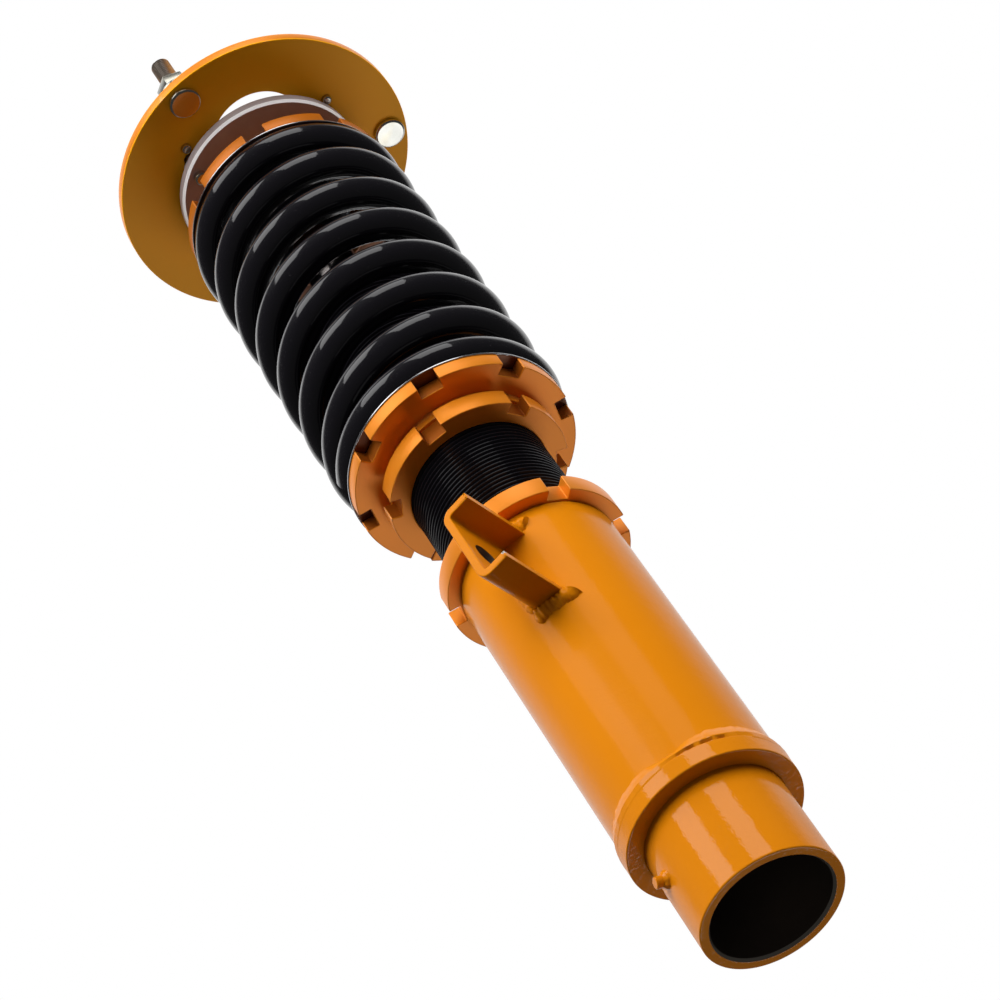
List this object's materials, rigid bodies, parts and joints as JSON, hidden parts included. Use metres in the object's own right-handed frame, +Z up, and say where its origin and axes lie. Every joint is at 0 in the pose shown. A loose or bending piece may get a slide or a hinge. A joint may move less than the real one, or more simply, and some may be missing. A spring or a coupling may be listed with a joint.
{
  "type": "coilover strut",
  "caption": "Front strut coilover: welded insert-tube bracket with link tab, threaded damper body with ring-nut spring seat, coil spring, hollow rod and swivelling top plate with camber slot.",
  "frame": {"origin": "centre of the insert tube's bottom end", "axes": "+Z up along the strut axis to the top mount, -Y the way the stabiliser link bracket points, +X to the side its channel opens"},
  "size_m": [0.1264, 0.1264, 0.484],
  "materials": {
    "gold_paint": "gloss golden-orange enamel over welded steel",
    "gold_anodised": "satin orange-gold anodising over turned aluminium",
    "gold_plate": "satin golden-orange coating",
    "spring_black": "gloss black powder coat",
    "black_thread": "satin black anodising",
    "machined_steel": "turned",
    "bare_aluminium": "turned",
    "seal_rubber": "matt",
    "bump_rubber": "matt closed-cell foam",
    "bearing_liner": "satin low-friction liner",
    "shim_steel": "blued spring steel",
    "hard_chrome": "ground and polished",
    "polished_steel": "polished",
    "bright_steel": "bright",
    "zinc": "zinc plated",
    "knob_anodised": "satin orange anodising"
  },
  "bodies": {
    "lower_bracket": {"insert_tube": "gold_paint", "locating_pin": "gold_paint", "pin_weld": "gold_paint", "knuckle_collar": "gold_paint", "collar_weld": "gold_paint", "outer_tube": "gold_paint", "link_bracket": "gold_paint", "link_welds": "gold_paint"},
    "body_ring": {"body_lock_ring": "gold_anodised"},
    "damper_body": {"damper_tube": "black_thread", "damper_base": "black_thread", "rod_guide": "bare_aluminium", "rod_seal": "seal_rubber", "gland_nut": "black_thread", "rod_wiper": "seal_rubber"},
    "lower_seat": {"lower_spring_perch": "gold_anodised", "lower_spring_washer": "bright_steel", "coil_spring": "spring_black"},
    "perch_ring": {"perch_lock_ring": "gold_anodised"},
    "oil_separator": {"floating_piston": "bare_aluminium", "floating_piston_seal": "seal_rubber"},
    "rod": {"piston_rod": "hard_chrome", "piston": "machined_steel", "piston_band": "bearing_liner", "valve_shims": "shim_steel", "piston_nut": "machined_steel", "rebound_stop": "machined_steel", "bump_stop": "bump_rubber", "bump_stop_washer": "bright_steel", "upper_spring_perch": "gold_anodised", "upper_spring_washer": "bright_steel", "swivel_ball": "hard_chrome", "lower_spacer": "bright_steel", "upper_spacer": "bright_steel", "rod_nut": "zinc"},
    "adjuster": {"metering_needle": "machined_steel", "damping_knob": "knob_anodised"},
    "lower_liner": {"lower_ball_liner": "bearing_liner"},
    "upper_liner": {"upper_ball_liner": "bearing_liner"},
    "top_bearing": {"bearing_housing": "polished_steel", "bearing_cup": "polished_steel", "bearing_retainer": "polished_steel", "camber_screws": "zinc", "camber_washers": "zinc"},
    "top_plate": {"top_mount_plate": "gold_plate", "tower_studs": "zinc", "tower_nuts": "zinc", "tower_washers": "zinc", "slot_stop_screws": "zinc"}
  },
  "joints": [
    {"name": "ride_height", "type": "slide", "parent": "lower_bracket", "child": "damper_body", "axis": [0, 0, 1], "range_m": [-0.009, 0.03]},
    {"name": "body_ring_travel", "type": "slide", "parent": "lower_bracket", "child": "body_ring", "axis": [0, 0, 1], "range_m": [0, 0.012]},
    {"name": "perch_height", "type": "slide", "parent": "damper_body", "child": "lower_seat", "axis": [0, 0, 1], "range_m": [-0.01, 0]},
    {"name": "perch_ring_travel", "type": "slide", "parent": "lower_seat", "child": "perch_ring", "axis": [0, 0, 1], "range_m": [-0.012, 0]},
    {"name": "damper_stroke", "type": "slide", "parent": "damper_body", "child": "rod", "axis": [0, 0, 1], "range_m": [-0.05, 0], "stiffness_N_per_m": 60000, "springref_m": 0.004, "deforming": ["coil_spring"]},
    {"name": "separator_travel", "type": "slide", "parent": "damper_body", "child": "oil_separator", "axis": [0, 0, 1], "range_m": [-0.0126, 0]},
    {"name": "adjuster_turn", "type": "hinge", "parent": "rod", "child": "adjuster", "pos_m": [0, 0, 0.479], "axis": [0, 0, 1], "range_deg": [-270, 270]},
    {"name": "steer_swivel", "type": "hinge", "parent": "rod", "child": "lower_liner", "pos_m": [0, 0, 0.4555], "axis": [0, 0, 1], "range_deg": [-45, 45]},
    {"name": "camber_tilt", "type": "hinge", "parent": "lower_liner", "child": "upper_liner", "pos_m": [0, 0, 0.4555], "axis": [0.8171, 0.5764, 0], "range_deg": [-6, 6]},
    {"name": "caster_tilt", "type": "hinge", "parent": "upper_liner", "child": "top_bearing", "pos_m": [0, 0, 0.4555], "axis": [0.5764, -0.8171, 0], "range_deg": [-6, 6]},
    {"name": "camber_slide", "type": "slide", "parent": "top_bearing", "child": "top_plate", "axis": [0.5764, -0.8171, 0], "range_m": [-0.0025, 0.0025]}
  ],
  "couplings": [
    {"joint": "separator_travel", "follows": "damper_stroke", "ratio": 0.25}
  ]
}
